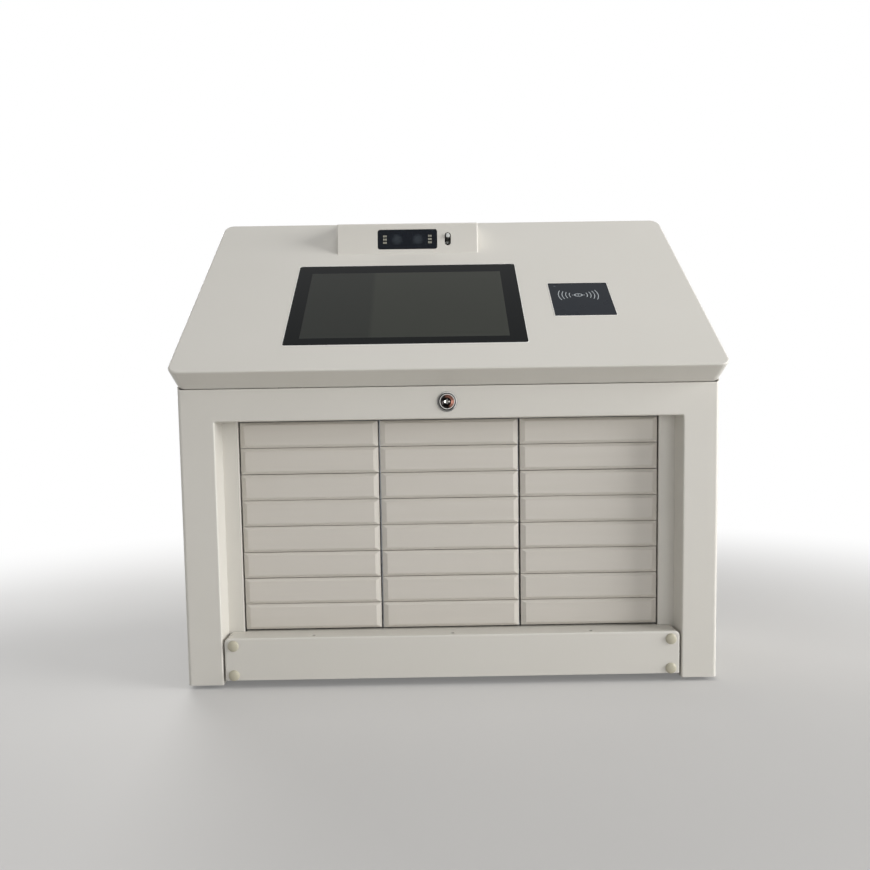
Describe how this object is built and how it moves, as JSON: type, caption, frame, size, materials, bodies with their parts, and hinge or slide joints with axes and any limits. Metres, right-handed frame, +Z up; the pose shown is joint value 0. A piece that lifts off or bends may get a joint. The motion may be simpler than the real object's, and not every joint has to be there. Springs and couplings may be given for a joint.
{
  "type": "cell phone locker box",
  "caption": "Desk-top phone locker: a sloping hinged lid with screen, camera and card reader over three columns of pop-out drawers.",
  "frame": {"origin": "centre of the object's box, at the underside of its feet", "axes": "+X across the front to the viewer's right, +Y from the front to the back, +Z up"},
  "size_m": [0.5552, 0.2584, 0.5304],
  "materials": {
    "powder_coat": "satin powder coat with a fine orange peel",
    "drawer_moulding": "fine matt moulded plastic",
    "zinc_steel": "zinc plated",
    "chrome": "polished",
    "screen_glass": "gloss, blacked border round a dark display",
    "tile": "satin",
    "window": "gloss, smoked",
    "black_plastic": "matt",
    "ivory_plastic": "satin",
    "rubber": "matt",
    "circuit_board": "satin solder mask"
  },
  "bodies": {
    "cabinet": {"base_pan": "powder_coat", "side_panel_left": "powder_coat", "side_panel_right": "powder_coat", "front_rail": "powder_coat", "rear_panel": "powder_coat", "front_lip": "powder_coat", "lip_caps": "ivory_plastic", "rubber_feet": "rubber", "bank_walls": "zinc_steel", "drawer_runners": "zinc_steel", "bank_cover": "zinc_steel", "drawer_locks": "zinc_steel", "power_supply": "zinc_steel", "hinge_leaves_cabinet": "zinc_steel", "hinge_pins": "zinc_steel", "lock_nut": "zinc_steel", "controller_board": "circuit_board", "power_inlet": "black_plastic", "lock_barrel": "chrome"},
    "lid": {"lid_shell": "powder_coat", "camera_housing": "powder_coat", "hinge_leaves_lid": "zinc_steel", "lid_strike": "zinc_steel", "display_straps": "zinc_steel", "camera_bracket": "zinc_steel", "panel_board": "circuit_board", "display_module": "black_plastic", "reader_module": "black_plastic", "screen_glass": "screen_glass", "reader_tile": "tile", "camera_window": "window"},
    "camera": {"camera_module": "black_plastic", "camera_lever": "zinc_steel"},
    "lock": {"lock_plug": "chrome", "lock_cam": "zinc_steel"},
    "switch": {"power_switch": "black_plastic"},
    "drawer_c1_r1": {"drawer_c1_r1": "drawer_moulding"},
    "drawer_c1_r2": {"drawer_c1_r2": "drawer_moulding"},
    "drawer_c1_r3": {"drawer_c1_r3": "drawer_moulding"},
    "drawer_c1_r4": {"drawer_c1_r4": "drawer_moulding"},
    "drawer_c1_r5": {"drawer_c1_r5": "drawer_moulding"},
    "drawer_c1_r6": {"drawer_c1_r6": "drawer_moulding"},
    "drawer_c1_r7": {"drawer_c1_r7": "drawer_moulding"},
    "drawer_c1_r8": {"drawer_c1_r8": "drawer_moulding"},
    "drawer_c2_r1": {"drawer_c2_r1": "drawer_moulding"},
    "drawer_c2_r2": {"drawer_c2_r2": "drawer_moulding"},
    "drawer_c2_r3": {"drawer_c2_r3": "drawer_moulding"},
    "drawer_c2_r4": {"drawer_c2_r4": "drawer_moulding"},
    "drawer_c2_r5": {"drawer_c2_r5": "drawer_moulding"},
    "drawer_c2_r6": {"drawer_c2_r6": "drawer_moulding"},
    "drawer_c2_r7": {"drawer_c2_r7": "drawer_moulding"},
    "drawer_c2_r8": {"drawer_c2_r8": "drawer_moulding"},
    "drawer_c3_r1": {"drawer_c3_r1": "drawer_moulding"},
    "drawer_c3_r2": {"drawer_c3_r2": "drawer_moulding"},
    "drawer_c3_r3": {"drawer_c3_r3": "drawer_moulding"},
    "drawer_c3_r4": {"drawer_c3_r4": "drawer_moulding"},
    "drawer_c3_r5": {"drawer_c3_r5": "drawer_moulding"},
    "drawer_c3_r6": {"drawer_c3_r6": "drawer_moulding"},
    "drawer_c3_r7": {"drawer_c3_r7": "drawer_moulding"},
    "drawer_c3_r8": {"drawer_c3_r8": "drawer_moulding"}
  },
  "joints": [
    {"name": "camera_tilt", "type": "hinge", "parent": "lid", "child": "camera", "pos_m": [-0.0435, 0.07272, 0.49386], "axis": [1, 0, 0], "range_deg": [-5, 25]},
    {"name": "lid_hinge", "type": "hinge", "parent": "cabinet", "child": "lid", "pos_m": [0, 0.12575, 0.49313], "axis": [-1, 0, 0], "range_deg": [0, 75]},
    {"name": "lock_turn", "type": "hinge", "parent": "cabinet", "child": "lock", "pos_m": [-0.002, -0.10125, 0.2947], "axis": [0, -1, 0], "range_deg": [0, 90]},
    {"name": "power_switch_rock", "type": "hinge", "parent": "cabinet", "child": "switch", "pos_m": [-0.2, 0.11925, 0.3575], "axis": [-1, 0, 0], "range_deg": [0, 20]},
    {"name": "slide_c1_r1", "type": "slide", "parent": "cabinet", "child": "drawer_c1_r1", "axis": [0, -1, 0], "range_m": [0, 0.14]},
    {"name": "slide_c1_r2", "type": "slide", "parent": "cabinet", "child": "drawer_c1_r2", "axis": [0, -1, 0], "range_m": [0, 0.14]},
    {"name": "slide_c1_r3", "type": "slide", "parent": "cabinet", "child": "drawer_c1_r3", "axis": [0, -1, 0], "range_m": [0, 0.14]},
    {"name": "slide_c1_r4", "type": "slide", "parent": "cabinet", "child": "drawer_c1_r4", "axis": [0, -1, 0], "range_m": [0, 0.14]},
    {"name": "slide_c1_r5", "type": "slide", "parent": "cabinet", "child": "drawer_c1_r5", "axis": [0, -1, 0], "range_m": [0, 0.14]},
    {"name": "slide_c1_r6", "type": "slide", "parent": "cabinet", "child": "drawer_c1_r6", "axis": [0, -1, 0], "range_m": [0, 0.14]},
    {"name": "slide_c1_r7", "type": "slide", "parent": "cabinet", "child": "drawer_c1_r7", "axis": [0, -1, 0], "range_m": [0, 0.14]},
    {"name": "slide_c1_r8", "type": "slide", "parent": "cabinet", "child": "drawer_c1_r8", "axis": [0, -1, 0], "range_m": [0, 0.14]},
    {"name": "slide_c2_r1", "type": "slide", "parent": "cabinet", "child": "drawer_c2_r1", "axis": [0, -1, 0], "range_m": [0, 0.14]},
    {"name": "slide_c2_r2", "type": "slide", "parent": "cabinet", "child": "drawer_c2_r2", "axis": [0, -1, 0], "range_m": [0, 0.14]},
    {"name": "slide_c2_r3", "type": "slide", "parent": "cabinet", "child": "drawer_c2_r3", "axis": [0, -1, 0], "range_m": [0, 0.14]},
    {"name": "slide_c2_r4", "type": "slide", "parent": "cabinet", "child": "drawer_c2_r4", "axis": [0, -1, 0], "range_m": [0, 0.14]},
    {"name": "slide_c2_r5", "type": "slide", "parent": "cabinet", "child": "drawer_c2_r5", "axis": [0, -1, 0], "range_m": [0, 0.14]},
    {"name": "slide_c2_r6", "type": "slide", "parent": "cabinet", "child": "drawer_c2_r6", "axis": [0, -1, 0], "range_m": [0, 0.14]},
    {"name": "slide_c2_r7", "type": "slide", "parent": "cabinet", "child": "drawer_c2_r7", "axis": [0, -1, 0], "range_m": [0, 0.14]},
    {"name": "slide_c2_r8", "type": "slide", "parent": "cabinet", "child": "drawer_c2_r8", "axis": [0, -1, 0], "range_m": [0, 0.14]},
    {"name": "slide_c3_r1", "type": "slide", "parent": "cabinet", "child": "drawer_c3_r1", "axis": [0, -1, 0], "range_m": [0, 0.14]},
    {"name": "slide_c3_r2", "type": "slide", "parent": "cabinet", "child": "drawer_c3_r2", "axis": [0, -1, 0], "range_m": [0, 0.14]},
    {"name": "slide_c3_r3", "type": "slide", "parent": "cabinet", "child": "drawer_c3_r3", "axis": [0, -1, 0], "range_m": [0, 0.14]},
    {"name": "slide_c3_r4", "type": "slide", "parent": "cabinet", "child": "drawer_c3_r4", "axis": [0, -1, 0], "range_m": [0, 0.14]},
    {"name": "slide_c3_r5", "type": "slide", "parent": "cabinet", "child": "drawer_c3_r5", "axis": [0, -1, 0], "range_m": [0, 0.14]},
    {"name": "slide_c3_r6", "type": "slide", "parent": "cabinet", "child": "drawer_c3_r6", "axis": [0, -1, 0], "range_m": [0, 0.14]},
    {"name": "slide_c3_r7", "type": "slide", "parent": "cabinet", "child": "drawer_c3_r7", "axis": [0, -1, 0], "range_m": [0, 0.14]},
    {"name": "slide_c3_r8", "type": "slide", "parent": "cabinet", "child": "drawer_c3_r8", "axis": [0, -1, 0], "range_m": [0, 0.14]}
  ]
}
